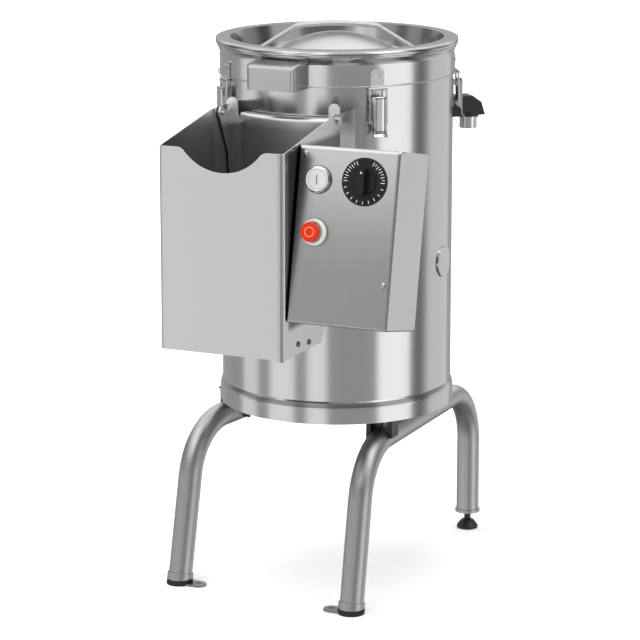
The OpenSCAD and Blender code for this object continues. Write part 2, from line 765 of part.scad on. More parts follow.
module rear_foot() color("black") placed() translate([hoop_x, rear_y, 0]) {
  cylinder(r = pad_r, h = 4);
  translate([0, 0, 4 - film]) cylinder(r1 = pad_r, r2 = pad_r - 7, h = pad_h - 4, $fn = 72);
  translate([0, 0, pad_h - 1]) cylinder(r = stud_r, h = stud_gap + 30);
}

// ---------------------------------------------------------------- door and chute

module discharge_door() color("silver") placed() {
  back_r = door_r - door_depth;
  wall = 2;
  corner = 6;
  edge_turn = 0.65;
  skin_y = -(door_r - 1) * cos(door_half_angle);
  skin_x = (door_r - 1) * sin(door_half_angle);
  // curved shell, open towards the drum, with a rounded top edge
  difference() {
    rotate([0, 0, -90 - door_half_angle]) rotate_extrude(angle = 2 * door_half_angle, $fn = 180)
      polygon(concat([[back_r, door_z], [door_r, door_z]],
        [for (i = [0 : 8]) [door_r - corner + corner * cos(11.25 * i),
          door_top - corner + corner * sin(11.25 * i)]], [[back_r, door_top]]));
    translate([0, 0, door_z + wall]) ring_sector(back_r - 5, door_r - wall, door_h - 2 * wall,
      -90 - door_half_angle + edge_turn, -90 + door_half_angle - edge_turn);
  }
  for (s = [0, 1]) mirror([s, 0, 0]) {
    // side wing out to the cheek, cheek with the hinge eye, and the ear
    translate([skin_x - 2, skin_y - 2.4, door_z + 40]) cube([cheek_x - skin_x + 1, wall, door_h - 44]);
    difference() {
      translate([cheek_x - wall, 0, 0]) rotate([90, 0, 90]) linear_extrude(wall)
        cheek_shape(skin_y);
      translate([0, -hinge_y, hinge_z]) rotate([0, 90, 0])
        cylinder(r = pin_r + run_gap, h = 120);
    }
    translate([cheek_x - ear_w - 0.5, skin_y - 18, door_top - 14]) ear();
    translate([skin_x - 6, skin_y - 17, door_top - 13]) cube([cheek_x - skin_x + 5, 16, wall]);
  }
}

module cheek_shape(skin_y) {
  eye_r = pin_r + 6;
  polygon([[skin_y - 0.5, door_z + 42], [skin_y - 0.5, door_top - 6], [-hinge_y + 1, hinge_z + eye_r - 0.6],
    [-hinge_y - eye_r + 0.6, hinge_z - 1], [skin_y - 14, hinge_z - 60], [skin_y - 3, door_z + 42]]);
  translate([-hinge_y, hinge_z]) circle(r = eye_r);
}

module ear() rotate([90, 0, 0]) translate([0, 0, -2]) linear_extrude(2)
  polygon(concat([[0, 0]], [for (i = [12 : -1 : 0]) [ear_w / 2 + ear_w / 2 * cos(15 * i),
    14 + ear_h - ear_w / 2 + ear_w / 2 * sin(15 * i)]], [[ear_w, 0]]));

module door_seal() color("black") placed() {
  in_r = drum_r + film;
  out_r = door_r - door_depth - fit;
  a = opening_half_angle;
  h = door_top - 16 - opening_z;
  difference() {
    translate([0, 0, opening_z - 6]) ring_sector(in_r, out_r, h + 12, -92 - a, -88 + a);
    translate([0, 0, opening_z]) ring_sector(in_r - 5, out_r + 5, h, -90 - a, -90 + a);
  }
}

module door_pins() color("gray") placed() for (s = [-1, 1]) {
  translate([s * (cheek_x - 6), -hinge_y, hinge_z]) rotate([0, s * 90, 0]) {
    cylinder(r = pin_r, h = chute_w / 2 - cheek_x + 6);
    translate([0, 0, chute_w / 2 - cheek_x + 6]) cylinder(r = screw_head_r + 0.5, h = 3);
  }
}

// Outline of the front sheet: a scooped top edge with rounded shoulders
module front_outline() {
  half = chute_w / 2;
  centre = chute_front_h - scoop_depth + scoop_r;
  sum_r = scoop_r + shoulder_r;
  drop = centre - (chute_front_h - shoulder_r);
  shoulder_x = sqrt(sum_r * sum_r - drop * drop);
  meet = asin(drop / sum_r);
  steps = 14;
  shoulder = [for (i = [0 : steps]) let (a = 90 + (90 - meet) * i / steps)
    [shoulder_x + shoulder_r * cos(a), chute_front_h - shoulder_r + shoulder_r * sin(a)]];
  scoop = [for (i = [1 : 2 * steps - 1]) let (a = -meet - (90 - meet) * i / steps)
    [scoop_r * cos(a), centre + scoop_r * sin(a)]];
  other = [for (i = [steps : -1 : 0]) [-shoulder[i][0], shoulder[i][1]]];
  polygon(concat([[-half, 0], [half - sheet, 0], [half - sheet, chute_front_h]], shoulder,
    scoop, other, [[-half, chute_front_h]]));
}

// Side wall: sloping top, upright back and a slanted lower back edge
module wall_outline() polygon([[-chute_y, chute_z], [-chute_y, chute_top],
  [-chute_back_y - chute_level, chute_top + chute_back_rise],
  [-chute_back_y, chute_top + chute_back_rise], [-chute_back_y, chute_z + 110],
  [-chute_back_y - 64, chute_z]]);

module wall_holes() {
  translate([-150, -hinge_y, hinge_z]) rotate([0, 90, 0]) cylinder(r = pin_r + film, h = 300);
  for (y = [46, 82]) translate([-150, -chute_y + y, chute_z + (y < 60 ? 14 : 9.5)])
    rotate([0, 90, 0]) cylinder(r = 2.5 + film, h = 300);
}

module chute_front() color("lightgray") placed() {
  translate([0, -chute_y + sheet, chute_z]) rotate([90, 0, 0]) linear_extrude(sheet)
    front_outline();
  difference() {
    translate([-chute_w / 2, 0, 0]) rotate([90, 0, 90]) linear_extrude(sheet) wall_outline();
    wall_holes();
  }
}

module chute_side() color("lightgray") placed() {
  difference() {
    translate([wall_in_x, 0, 0]) rotate([90, 0, 90]) linear_extrude(sheet) wall_outline();
    wall_holes();
  }
  // strip that laps over the front sheet
  difference() {
    translate([chute_w / 2 - lap_w, -chute_y - sheet, chute_z - 2])
      cube([lap_w, sheet, chute_front_h + 2]);
    translate([chute_w / 2 - lap_w * 0.45, -chute_y - sheet - 1, chute_z - 3])
      cube([groove_w, 1 + groove_t, chute_front_h + 4]);
  }
  translate([wall_in_x, -chute_y - sheet, chute_z - 2]) cube([sheet, 3 * sheet, chute_front_h + 2]);
}

// The slide that leads from the door's opening down to the chute's mouth
module chute_slide() color("lightgray") placed() {
  y0 = -drum_r * cos(opening_half_angle) - 26;
  y1 = -chute_back_y - 98;
  z0 = opening_z - 14;
  z1 = chute_z + 2;
  w = 2 * wall_in_x - 2 * film;
  translate([-w / 2, 0, 0]) rotate([90, 0, 90]) linear_extrude(w)
    polygon([[y0, z0], [y1, z1 + 18], [y1, z1], [y1 - sheet, z1], [y1 - sheet, z1 + 18 + sheet * 0.6],
      [y0, z0 + sheet * 1.2]]);
  difference() {
    for (s = [0, 1]) translate([s ? w / 2 - sheet : -w / 2, 0, 0]) rotate([90, 0, 90])
      linear_extrude(sheet) polygon([[y1 + 2, z1 + 17], [y1 + 12, z1], [y1 - 62, z1], [y1 - 62, z1 + 24], [y1, z1 + 24]]);
    wall_holes();
  }
  ring_lip();
}

// Curved lip that seats the slide on the drum below the opening
module ring_lip() {
  a = asin(wall_in_x * 0.8 / drum_r);
  translate([0, 0, opening_z - 14]) ring_sector(drum_r + film, drum_r + sheet, 6, -90 - a, -90 + a);
  difference() {
    translate([0, 0, opening_z - 14]) ring_sector(drum_r + film, drum_r + 34, sheet * 1.2, -90 - a, -90 + a);
    translate([-200, -drum_r * cos(opening_half_angle) - 26 - 200, 0]) cube([400, 200, 2000]);
  }
}

module chute_brackets() color("silver") placed() difference() {
  z0 = chute_top + chute_back_rise + 1 - bracket_h;
  for (s = [0, 1]) mirror([s, 0, 0]) translate([0, 0, z0]) linear_extrude(bracket_h)
    bracket_profile();
  wall_holes();
  bracket_screw_holes(2.5 + film);
}

// Plan of the right bracket: a plate beside the wall and a flange round the drum
module bracket_profile() {
  in_x = wall_in_x - sheet - film;
  out_x = in_x + sheet;
  front_y = -chute_back_y - 22;
  r_in = drum_r + film;
  r_out = drum_r + sheet;
  t_in = asin(in_x / r_in);
  t_out = asin(out_x / r_out);
  t_end = t_out + flange_w / drum_r * 180 / PI;
  steps = 8;
  polygon(concat([[in_x, front_y], [out_x, front_y]],
    [for (i = [0 : steps]) let (t = t_out + (t_end - t_out) * i / steps)
      [r_out * sin(t), -r_out * cos(t)]],
    [for (i = [0 : steps]) let (t = t_end + (t_in - t_end) * i / steps)
      [r_in * sin(t), -r_in * cos(t)]]));
}

module bracket_screw_holes(r) for (s = [0, 1])
  translate([s ? wall_in_x - 6 : -wall_in_x - 4, -chute_back_y + 19, chute_top + chute_back_rise - 9])
    rotate([0, 90, 0]) cylinder(r = r, h = 10);

module screw(s, length) rotate([0, s * 90, 0]) {
  difference() {
    intersection() {
      cylinder(r = screw_head_r - 1, h = 2.6);
      translate([0, 0, -4.2]) sphere(r = 6.8, $fn = 48);
    }
    translate([0, 0, 1.4]) cylinder(r = 1.6, h = 3, $fn = 6);
  }
  translate([0, 0, -length]) cylinder(r = 2.5, h = length + film);
}

module chute_screws() color("silver") placed() for (s = [-1, 1]) {
  for (y = [46, 82]) translate([s * chute_w / 2, -chute_y + y, chute_z + (y < 60 ? 14 : 9.5)])
    screw(s, 5);
  translate([s * (wall_in_x - film), -chute_back_y + 19, chute_top + chute_back_rise - 9])
    screw(s, sheet + 0.8);
}

// ---------------------------------------------------------------- control box

module box_outline(inset)
  translate([inset, -box_h + inset]) square([box_w - 2 * inset, box_h - 2 * inset]);

module box_side_outline() difference() {
  translate([-box_h, 0]) square([box_h, box_d]);
  for (c = [[0, 0], [-box_h, 0]])
    difference() {
      translate([c[0] - box_corner_r, -1]) square([2 * box_corner_r, box_corner_r + 1]);
      translate([c[0] == 0 ? -box_corner_r : -box_h + box_corner_r, box_corner_r])
        circle(r = box_corner_r, $fn = 48);
    }
}

// The cover is a tray: front and four sides, open at the back
module box_cover() color("silver") placed() difference() {
  in_panel(0, 0, -box_d) rotate([0, 0, 0]) cover_solid(0);
  in_panel(0, 0, -box_d) cover_solid(sheet);
  panel_hole(button_x, start_drop, 11.5);
  panel_hole(button_x, stop_drop, 11.5);
  panel_hole(timer_x, timer_drop, 5);
  panel_hole(8, 11.5, 2.5 + film);
  panel_hole(box_w - 11, 180, 2.5 + film);
  in_panel(box_w - 5, 0, -groove_t) translate([0, -box_h - 1, 0]) cube([groove_w, box_h + 2, 5]);
}

module cover_solid(inset) translate([inset, 0, inset > 0 ? -1 : 0])
  rotate([90, 0, 90]) linear_extrude(box_w - 2 * inset) intersection() {
    box_side_outline();
    translate([-box_h + inset, inset > 0 ? -2 : 0])
      square([box_h - 2 * inset, box_d - inset + (inset > 0 ? 3 : 0)]);
  }

module panel_hole(x, drop, r) in_panel(x, drop, -10) cylinder(r = r, h = 20);

module box_back() color("silver") placed() difference() {
  in_panel(0, 0, -box_d + 4) translate([sheet + fit, -box_h + sheet + fit, 0])
    cube([box_w - 2 * sheet - 2 * fit, box_h - 2 * sheet - 2 * fit, 2]);
  in_panel(0, 0, -box_d) translate([10 + duct_w / 2, -box_h / 2, -20])
    cube([duct_w - 8, duct_h - 20, 60], center = true);
  in_panel(box_w - 30, box_h - 40, -box_d - 10) cylinder(r = 8 + film, h = 30);
}

// Duct that carries the box on the drum and takes its wires
module duct_block(inset) {
  mid_z = box_top - box_h / 2 * cos(box_tilt);
  translate([box_x + 10 + inset, -box_y + 60, mid_z - duct_h / 2 + inset])
    cube([duct_w - 2 * inset, box_y - 60 - 90, duct_h - 2 * inset]);
}

module duct_hole() {
  mid_z = box_top - box_h / 2 * cos(box_tilt);
  translate([box_x + 18, -drum_r, mid_z - duct_h / 2 + 12]) cube([duct_w - 22, drum_r, duct_h - 24]);
}

module box_duct() color("silver") placed() difference() {
  duct_block(0);
  translate([0, -5, 0]) scale([1, 1, 1]) duct_block(sheet);
  translate([0, 5, 0]) duct_block(sheet);
  cylinder(r = drum_r + film, h = 1200, $fn = 180);
  in_panel(0, 0, -box_d + 4 - film) translate([-20, -box_h - 20, 0]) cube([box_w + 40, box_h + 40, 200]);
}

module panel_screws() color("silver") placed() {
  for (p = [[8, 11.5], [box_w - 11, 180]]) in_panel(p[0], p[1]) {
    intersection() {
      cylinder(r = 4.2, h = 2.6);
      translate([0, 0, -4]) sphere(r = 6.3, $fn = 48);
    }
    translate([0, 0, -5]) cylinder(r = 2.5, h = 5 + film);
  }
}

module bezel() difference() {
  union() {
    rotate_extrude() polygon([[0, 0], [bezel_r, 0], [bezel_r, 2], [bezel_r - 1, bezel_h - 1],
      [bezel_r - 2.5, bezel_h], [0, bezel_h]]);
    translate([0, 0, -30]) cylinder(r = 11.4, h = 31);
  }
  translate([0, 0, bezel_h - button_travel - cap_t]) cylinder(r = cap_r + 0.6, h = 20);
  translate([0, 0, -31]) cylinder(r = 7, h = 60);
}

module start_bezel() color("silver") placed() in_panel(button_x, start_drop) bezel();
module stop_bezel() color("whitesmoke") placed() in_panel(button_x, stop_drop) bezel();

module start_button() color("white") placed() in_panel(button_x, start_drop) {
  translate([0, 0, bezel_h - cap_t + fit]) cylinder(r = cap_r, h = cap_t);
  translate([0, 0, -22]) cylinder(r = 7 - run_gap, h = 22 + bezel_h);
}

module stop_button() color("red") placed() in_panel(button_x, stop_drop) {
  translate([0, 0, bezel_h + 2]) rotate_extrude() polygon([[0, 0],
    [cap_r - 3.5, 0], [cap_r - 0.5, 3], [cap_r, 5], [cap_r, 8], [cap_r - 1.5, 9.5], [0, 9.5]]);
  translate([0, 0, -22]) cylinder(r = 7 - run_gap, h = 22 + bezel_h + 4);
}

module timer_body() color("whitesmoke") placed() in_panel(timer_x, timer_drop, -sheet) {
  translate([-24, -24, -38]) difference() {
    cube([48, 48, 38 - film]);
    translate([24, 24, 20]) cylinder(r = 3 + run_gap, h = 40);
  }
}

module timer_scale() color("black") placed() in_panel(timer_x, timer_drop) difference() {
  cylinder(r = scale_r, h = 2, $fn = 96);
  translate([0, 0, -1]) cylinder(r = 5, h = 10);
}

module timer_knob() color("black") placed() in_panel(timer_x, timer_drop) {
  translate([0, 0, 2 + fit]) cylinder(r1 = knob_r, r2 = knob_r - 1.5, h = 3, $fn = 72);
  translate([-5, -knob_r + 1, 3]) cube([10, 2 * knob_r - 2, knob_h - 3]);
  translate([0, 0, -18]) cylinder(r = 3, h = 22);
}

// ---------------------------------------------------------------- latches and fittings

module at_latch(i) rotate([0, 0, latch_angles[i]]) children();

// Catch plate on the collar, with two rivets and the tongue that takes the bail's bar
module catch_plates() color("silver") placed() for (i = [0 : 3]) at_latch(i)
  translate([collar_r + film, 0, catch_z]) {
    half = lever_w / 2 - 0.5;
    translate([0, -half, -3.4]) cube([1.5, 2 * half, 25]);
    translate([0, -half + 5, 20]) cube([1.5, 2 * half - 10, 7.5]);
    for (s = [-1, 1]) {
      translate([0, s * (half - 6), 21.3]) rotate([0, 90, 0]) cylinder(r = 6.2, h = 1.5);
      translate([0, s * 6, 17]) rotate([0, 90, 0]) cylinder(r = 2.8, h = 2.6);
    }
    translate([1, -half + 1, -3.4]) cube([9, 2 * half - 2, 1.7]);
  }

// Base with two cheeks, and the hinge pin through them
module latch_bases() color("silver") placed() for (i = [0 : 3]) at_latch(i) {
  cheek_r = 3.5;
  difference() {
    union() {
      translate([drum_r - 0.6, -7, latch_z - 34]) cube([2.2, 14, 41]);
      for (s = [0, 1]) translate([drum_r, s ? 5 : -7, latch_z]) {
        translate([0, 0, -cheek_r + 0.2]) cube([latch_stand, 2, 2 * cheek_r - 0.4]);
        translate([latch_stand, 0, 0]) rotate([-90, 0, 0]) cylinder(r = cheek_r, h = 2);
      }
    }
    cylinder(r = drum_r + film, h = 2000, $fn = 180);
  }
  translate([latch_r, -lever_w / 2 - 0.2, latch_z]) rotate([-90, 0, 0])
    cylinder(r = pivot_r, h = lever_w + 0.4);
}

// Lever: a channel whose cheeks turn on the hinge pin, with a curled tip
module latch_lever(i) color("silver") placed() at_latch(i) translate([latch_r, 0, latch_z]) {
  plate = 1.4;
  difference() {
    union() {
      // face, with its rolled top and the tip that curls outwards
      translate([0, lever_w / 2, 0]) rotate([90, 0, 0]) linear_extrude(lever_w)
        polygon([[4, -lever_l + 8], [4, 3], [3.8, 5.4], [4.4, 6.4], [5, 5.6], [4 + plate, 3.4],
          [4 + plate, -lever_l + 8.6], [6.4, -lever_l + 4], [9.2, -lever_l + 0.6],
          [8.2, -lever_l - 0.4], [5.2, -lever_l + 3.2]]);
      for (s = [0, 1]) translate([0, s ? lever_w / 2 - plate : -lever_w / 2, 0])
        rotate([90, 0, 0]) mirror([0, 0, 1]) linear_extrude(plate) lever_cheek();
    }
    translate([0, -20, 0]) rotate([-90, 0, 0]) cylinder(r = pivot_r + run_gap, h = 40);
    translate([0, -20, -bail_drop]) rotate([-90, 0, 0])
      cylinder(r = wire_r + run_gap, h = 40);
  }
}

module lever_cheek() {
  circle(r = 4.5, $fn = 48);
  translate([0, -bail_drop]) circle(r = 4, $fn = 48);
  polygon([[-1, 3], [4.6, 3.2], [4.6, -bail_drop - 10], [0, -bail_drop - 3.5], [-1, -bail_drop]]);
}

// Bail: a wire loop pivoting in the lever, whose top bar lies in the catch's hook
module latch_bail(i) color("silver") placed() at_latch(i) translate([latch_r, 0, latch_z]) {
  side_y = lever_w / 2 + wire_r + 0.5;
  bar_x = collar_r + 6 - latch_r;
  lean = atan(bar_x / (bail_drop + catch_rise));
  for (p = [[0, -bail_drop], [bar_x, catch_rise]])
    translate([p[0], -side_y - wire_r, p[1]]) rotate([-90, 0, 0])
      cylinder(r = wire_r, h = 2 * (side_y + wire_r));
  for (s = [-1, 1]) translate([0, s * side_y, -bail_drop]) rotate([0, lean, 0])
    cylinder(r = wire_r - 0.1, h = (bail_drop + catch_rise) / cos(lean));
}

// Water inlet valve: a black wedge-shaped body with its threaded nozzle below
module water_valve() color("black") placed() rotate([0, 0, valve_turn])
  translate([0, 0, collar_z - valve_drop]) difference() {
    union() {
      translate([0, 13, 0]) rotate([90, 0, 0]) linear_extrude(26) polygon([[drum_r - 4, -16],
        [drum_r + 58, -14], [drum_r + 52, 5], [drum_r + 38, 15], [drum_r - 4, 15]]);
      translate([drum_r + 36, 0, -34]) cylinder(r = 13, h = 24);
      translate([drum_r + 36, 0, -18]) cylinder(r = 15.5, h = 8);
      translate([drum_r - 14, 0, 0]) rotate([0, 90, 0]) cylinder(r = 8, h = 20);
    }
    difference() {
      translate([0, 0, -60]) cylinder(r = drum_r + film, h = 120, $fn = 180);
      translate([drum_r - 16, 0, 0]) rotate([0, 90, 0]) cylinder(r = 8, h = 20);
    }
    translate([drum_r + 36, 0, -36]) cylinder(r = 8, h = 20);
  }

// Cable gland at the back of the drum's foot
module cable_gland() color("black") placed() rotate([0, 0, 60])
  translate([0, 0, ring_z + 60]) rotate([0, 90, 0]) translate([0, 0, drum_r - 8])
    difference() {
      union() {
        cylinder(r = 8 - film, h = 12);
        translate([0, 0, 8 + film]) cylinder(r = 13, h = 6, $fn = 6);
        translate([0, 0, 14]) cylinder(r = 11, h = 10);
        translate([0, 0, 24]) cylinder(r1 = 11, r2 = 8, h = 5, $fn = 48);
      }
      translate([0, 0, -1]) cylinder(r = 5, h = 60);
      translate([-30, -30, -60]) cube([60, 60, 60]);
    }

drum_shell();
base_ring();
base_plate();
collar();
collar_seal();
switch_cover();
bowl_floor();
bowl_liner();
drain_spout();
door_seal();
chute_front();
chute_side();
chute_slide();
chute_brackets();
chute_screws();
door_pins();
box_cover();
box_back();
box_duct();
panel_screws();
start_bezel();
stop_bezel();
timer_body();
timer_scale();
side_plug();
catch_plates();
latch_bases();
water_valve();
cable_gland();
bearing_housing();
bearings();
shaft_seal();
motor_plate();
motor();
drive_belt();
leg_front_left();
leg_hoop();
leg_brackets();
tube_caps();
floor_tabs();
lid();
lid_handle();
discharge_door();
start_button();
stop_button();
timer_knob();
rear_foot();
latch_lever(0);  // latch_lever_front_right
latch_lever(1);  // latch_lever_front_left
latch_lever(2);  // latch_lever_rear_right
latch_lever(3);  // latch_lever_rear_left
latch_bail(0);  // latch_bail_front_right
latch_bail(1);  // latch_bail_front_left
latch_bail(2);  // latch_bail_rear_right
latch_bail(3);  // latch_bail_rear_left
spindle();
peeling_disc();
driven_pulley();
motor_pulley();
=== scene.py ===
import json
import math

import bmesh
import bpy
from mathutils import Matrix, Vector


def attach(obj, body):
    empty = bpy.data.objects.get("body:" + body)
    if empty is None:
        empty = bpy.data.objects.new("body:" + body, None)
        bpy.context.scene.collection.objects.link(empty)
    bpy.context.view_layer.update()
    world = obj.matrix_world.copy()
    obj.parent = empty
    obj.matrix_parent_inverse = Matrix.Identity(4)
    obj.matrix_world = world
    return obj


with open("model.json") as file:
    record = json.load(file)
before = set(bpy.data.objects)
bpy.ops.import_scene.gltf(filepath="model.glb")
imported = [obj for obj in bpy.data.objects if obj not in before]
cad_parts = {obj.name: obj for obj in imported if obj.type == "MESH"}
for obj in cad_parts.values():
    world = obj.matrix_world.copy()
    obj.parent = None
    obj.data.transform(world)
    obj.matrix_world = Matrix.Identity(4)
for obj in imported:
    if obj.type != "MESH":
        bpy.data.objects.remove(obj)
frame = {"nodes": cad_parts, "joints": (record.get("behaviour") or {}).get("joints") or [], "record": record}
NODES = frame["nodes"]
JOINTS = {joint["name"]: joint for joint in frame["joints"]}
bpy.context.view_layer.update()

MM = 0.001
# Nearly all of a noise texture lies between these
NOISE_REACH = (0.3, 0.7)

# ---------------------------------------------------------------- materials


def maths(nodes, links, operation, *inputs):
    """The output of a math node; an input is a number or another output."""
    node = nodes.new("ShaderNodeMath")
    node.operation = operation
    for k, value in enumerate(inputs):
        if isinstance(value, (int, float)):
            node.inputs[k].default_value = value
        else:
            links.new(value, node.inputs[k])
    return node.outputs[0]


def new_material(name):
    material = bpy.data.materials.new(name)
    material.use_nodes = True
    return material, material.node_tree.nodes, material.node_tree.links


def plain(name, colour, roughness, metallic=0.0, coat=0.0, emission=0.0, specular=0.5):
    """A material with the same finish all over."""
    material, nodes, _ = new_material(name)
    shader = nodes["Principled BSDF"]
    shader.inputs["Base Color"].default_value = (*colour, 1)
    shader.inputs["Roughness"].default_value = roughness
    shader.inputs["Metallic"].default_value = metallic
    shader.inputs["Coat Weight"].default_value = coat
    shader.inputs["Specular IOR Level"].default_value = specular
    if emission:
        shader.inputs["Emission Color"].default_value = (*colour, 1)
        shader.inputs["Emission Strength"].default_value = emission
    return material


def fold_height(nodes, links, place, folds):
    """How far a sheet falls away at its folded edges, each as (direction, reach, radius)."""
    total = 0.0
    for direction, reach, radius in folds:
        along = nodes.new("ShaderNodeVectorMath")
        along.operation = "DOT_PRODUCT"
        links.new(place, along.inputs[0])
        along.inputs[1].default_value = direction
        past = maths(nodes, links, "SUBTRACT", along.outputs["Value"], reach - radius)
        past = maths(nodes, links, "MAXIMUM", past, 0.0)
        drop = maths(nodes, links, "MULTIPLY", past, past)
        total = maths(nodes, links, "MULTIPLY_ADD", drop, -0.5 / radius, total)
    return total


def brushed(name, colour, roughness, grain, contrast, spread=0.08, folds=()):
    """Brushed steel. grain is how fast the fine lines change along x, y and z.

    contrast and spread are how far the lines change its shade and roughness.
    """
    material, nodes, links = new_material(name)
    shader = nodes["Principled BSDF"]
    shader.inputs["Metallic"].default_value = 1.0
    coords = nodes.new("ShaderNodeTexCoord")
    mapping = nodes.new("ShaderNodeMapping")
    mapping.inputs["Scale"].default_value = grain
    links.new(coords.outputs["Object"], mapping.inputs["Vector"])
    lines = nodes.new("ShaderNodeTexNoise")
    lines.inputs["Scale"].default_value = 1.0
    lines.inputs["Detail"].default_value = 4.0
    lines.inputs["Roughness"].default_value = 0.7
    links.new(mapping.outputs["Vector"], lines.inputs["Vector"])
    tint = nodes.new("ShaderNodeMapRange")
    tint.inputs["From Min"].default_value, tint.inputs["From Max"].default_value = NOISE_REACH
    tint.inputs["To Min"].default_value = 1 - contrast
    tint.inputs["To Max"].default_value = 1 + contrast
    links.new(lines.outputs["Fac"], tint.inputs["Value"])
    shade = nodes.new("ShaderNodeVectorMath")
    shade.operation = "SCALE"
    shade.inputs[0].default_value = colour
    links.new(tint.outputs["Result"], shade.inputs["Scale"])
    links.new(shade.outputs["Vector"], shader.inputs["Base Color"])
    rough = nodes.new("ShaderNodeMapRange")
    rough.inputs["From Min"].default_value, rough.inputs["From Max"].default_value = NOISE_REACH
    rough.inputs["To Min"].default_value = roughness - spread
    rough.inputs["To Max"].default_value = roughness + spread
    links.new(lines.outputs["Fac"], rough.inputs["Value"])
    links.new(rough.outputs["Result"], shader.inputs["Roughness"])
    if folds:
        relief = nodes.new("ShaderNodeBump")
        relief.inputs["Distance"].default_value = 1.0
        height = fold_height(nodes, links, coords.outputs["Object"], folds)
        links.new(height, relief.inputs["Height"])
        links.new(relief.outputs["Normal"], shader.inputs["Normal"])
    return material


def two_finishes(name, centre, radius, inner, outer, rim):
    """Steel with one (shade, roughness) inside a radius round a line along z, one outside.

    rim is the inner radius, the height and the roundness of its rolled edge.
    """
    material, nodes, links = new_material(name)
    shader = nodes["Principled BSDF"]
    shader.inputs["Metallic"].default_value = 1.0
    coords = nodes.new("ShaderNodeTexCoord")
    from_axis = nodes.new("ShaderNodeVectorMath")
    from_axis.operation = "MULTIPLY_ADD"
    links.new(coords.outputs["Object"], from_axis.inputs[0])
    from_axis.inputs[1].default_value = (1, 1, 0)
    from_axis.inputs[2].default_value = (-centre[0], -centre[1], 0)
    length = nodes.new("ShaderNodeVectorMath")
    length.operation = "LENGTH"
    links.new(from_axis.outputs["Vector"], length.inputs[0])
    for k, socket in enumerate(("Base Color", "Roughness")):
        change = nodes.new("ShaderNodeMapRange")
        change.inputs["From Min"].default_value = radius - 2 * MM
        change.inputs["From Max"].default_value = radius + 2 * MM
        change.inputs["To Min"].default_value = inner[k]
        change.inputs["To Max"].default_value = outer[k]
        links.new(length.outputs["Value"], change.inputs["Value"])
        links.new(change.outputs["Result"], shader.inputs[socket])
    rim_r, rim_z, rim_fold = rim
    drop = fold_height(nodes, links, coords.outputs["Object"], [((0, 0, 1), rim_z, rim_fold)])
    at_rim = maths(nodes, links, "GREATER_THAN", length.outputs["Value"], rim_r)
    relief = nodes.new("ShaderNodeBump")
    relief.inputs["Distance"].default_value = 1.0
    links.new(maths(nodes, links, "MULTIPLY", drop, at_rim), relief.inputs["Height"])
    links.new(relief.outputs["Normal"], shader.inputs["Normal"])
    return material


def two_levels(name, height, low, high):
    """One (colour, roughness, metallic) below a height and another above it."""
    material, nodes, links = new_material(name)
    shader = nodes["Principled BSDF"]
    coords = nodes.new("ShaderNodeTexCoord")
    split = nodes.new("ShaderNodeSeparateXYZ")
    links.new(coords.outputs["Object"], split.inputs["Vector"])
    above = maths(nodes, links, "GREATER_THAN", split.outputs["Z"], height)
    for socket, below, over in zip(("Base Color", "Roughness", "Metallic"), low, high):
        level = maths(nodes, links, "MULTIPLY_ADD", above, over - below, below)
        links.new(level, shader.inputs[socket])
    return material


def paint_light_and_shade_within(material, skin, low, high, factor, edge):
    """Scale the colour beyond x = skin between two (y, z) corners, with a soft edge: painted light and
    shade.
    """
    nodes, links = material.node_tree.nodes, material.node_tree.links
    coords = nodes.new("ShaderNodeTexCoord")
    split = nodes.new("ShaderNodeSeparateXYZ")
    links.new(coords.outputs["Object"], split.inputs["Vector"])
    inside = maths(nodes, links, "GREATER_THAN", split.outputs["X"], skin)
    for axis, start, end in zip("YZ", low, high):
        after = maths(nodes, links, "MULTIPLY_ADD", split.outputs[axis], 1 / edge, -start / edge)
        before = maths(nodes, links, "MULTIPLY_ADD", split.outputs[axis], -1 / edge, end / edge)
        within = maths(nodes, links, "MINIMUM", after, before)
        within = maths(nodes, links, "MINIMUM", maths(nodes, links, "MAXIMUM", within, 0.0), 1.0)
        inside = maths(nodes, links, "MULTIPLY", inside, within)
    gain = maths(nodes, links, "MULTIPLY_ADD", inside, factor - 1, 1.0)
    colour = nodes["Principled BSDF"].inputs["Base Color"]
    scale = nodes.new("ShaderNodeVectorMath")
    scale.operation = "SCALE"
    links.new(colour.links[0].from_socket, scale.inputs[0])
    links.new(gain, scale.inputs["Scale"])
    links.new(scale.outputs["Vector"], colour)


def gritty(name, colour):
    """Coarse abrasive grains in a dark binder."""
    material, nodes, links = new_material(name)
    shader = nodes["Principled BSDF"]
    shader.inputs["Roughness"].default_value = 0.85
    coords = nodes.new("ShaderNodeTexCoord")
    grains = nodes.new("ShaderNodeTexVoronoi")
    grains.inputs["Scale"].default_value = 450.0
    links.new(coords.outputs["Object"], grains.inputs["Vector"])
    ramp = nodes.new("ShaderNodeValToRGB")
    ramp.color_ramp.elements[0].color = (*(1.6 * c for c in colour), 1)
    ramp.color_ramp.elements[1].color = (*(0.5 * c for c in colour), 1)
    links.new(grains.outputs["Distance"], ramp.inputs["Fac"])
    links.new(ramp.outputs["Color"], shader.inputs["Base Color"])
    relief = nodes.new("ShaderNodeBump")
    relief.inputs["Strength"].default_value = 0.8
    relief.inputs["Distance"].default_value = 0.001
    links.new(grains.outputs["Distance"], relief.inputs["Height"])
    links.new(relief.outputs["Normal"], shader.inputs["Normal"])
    return material


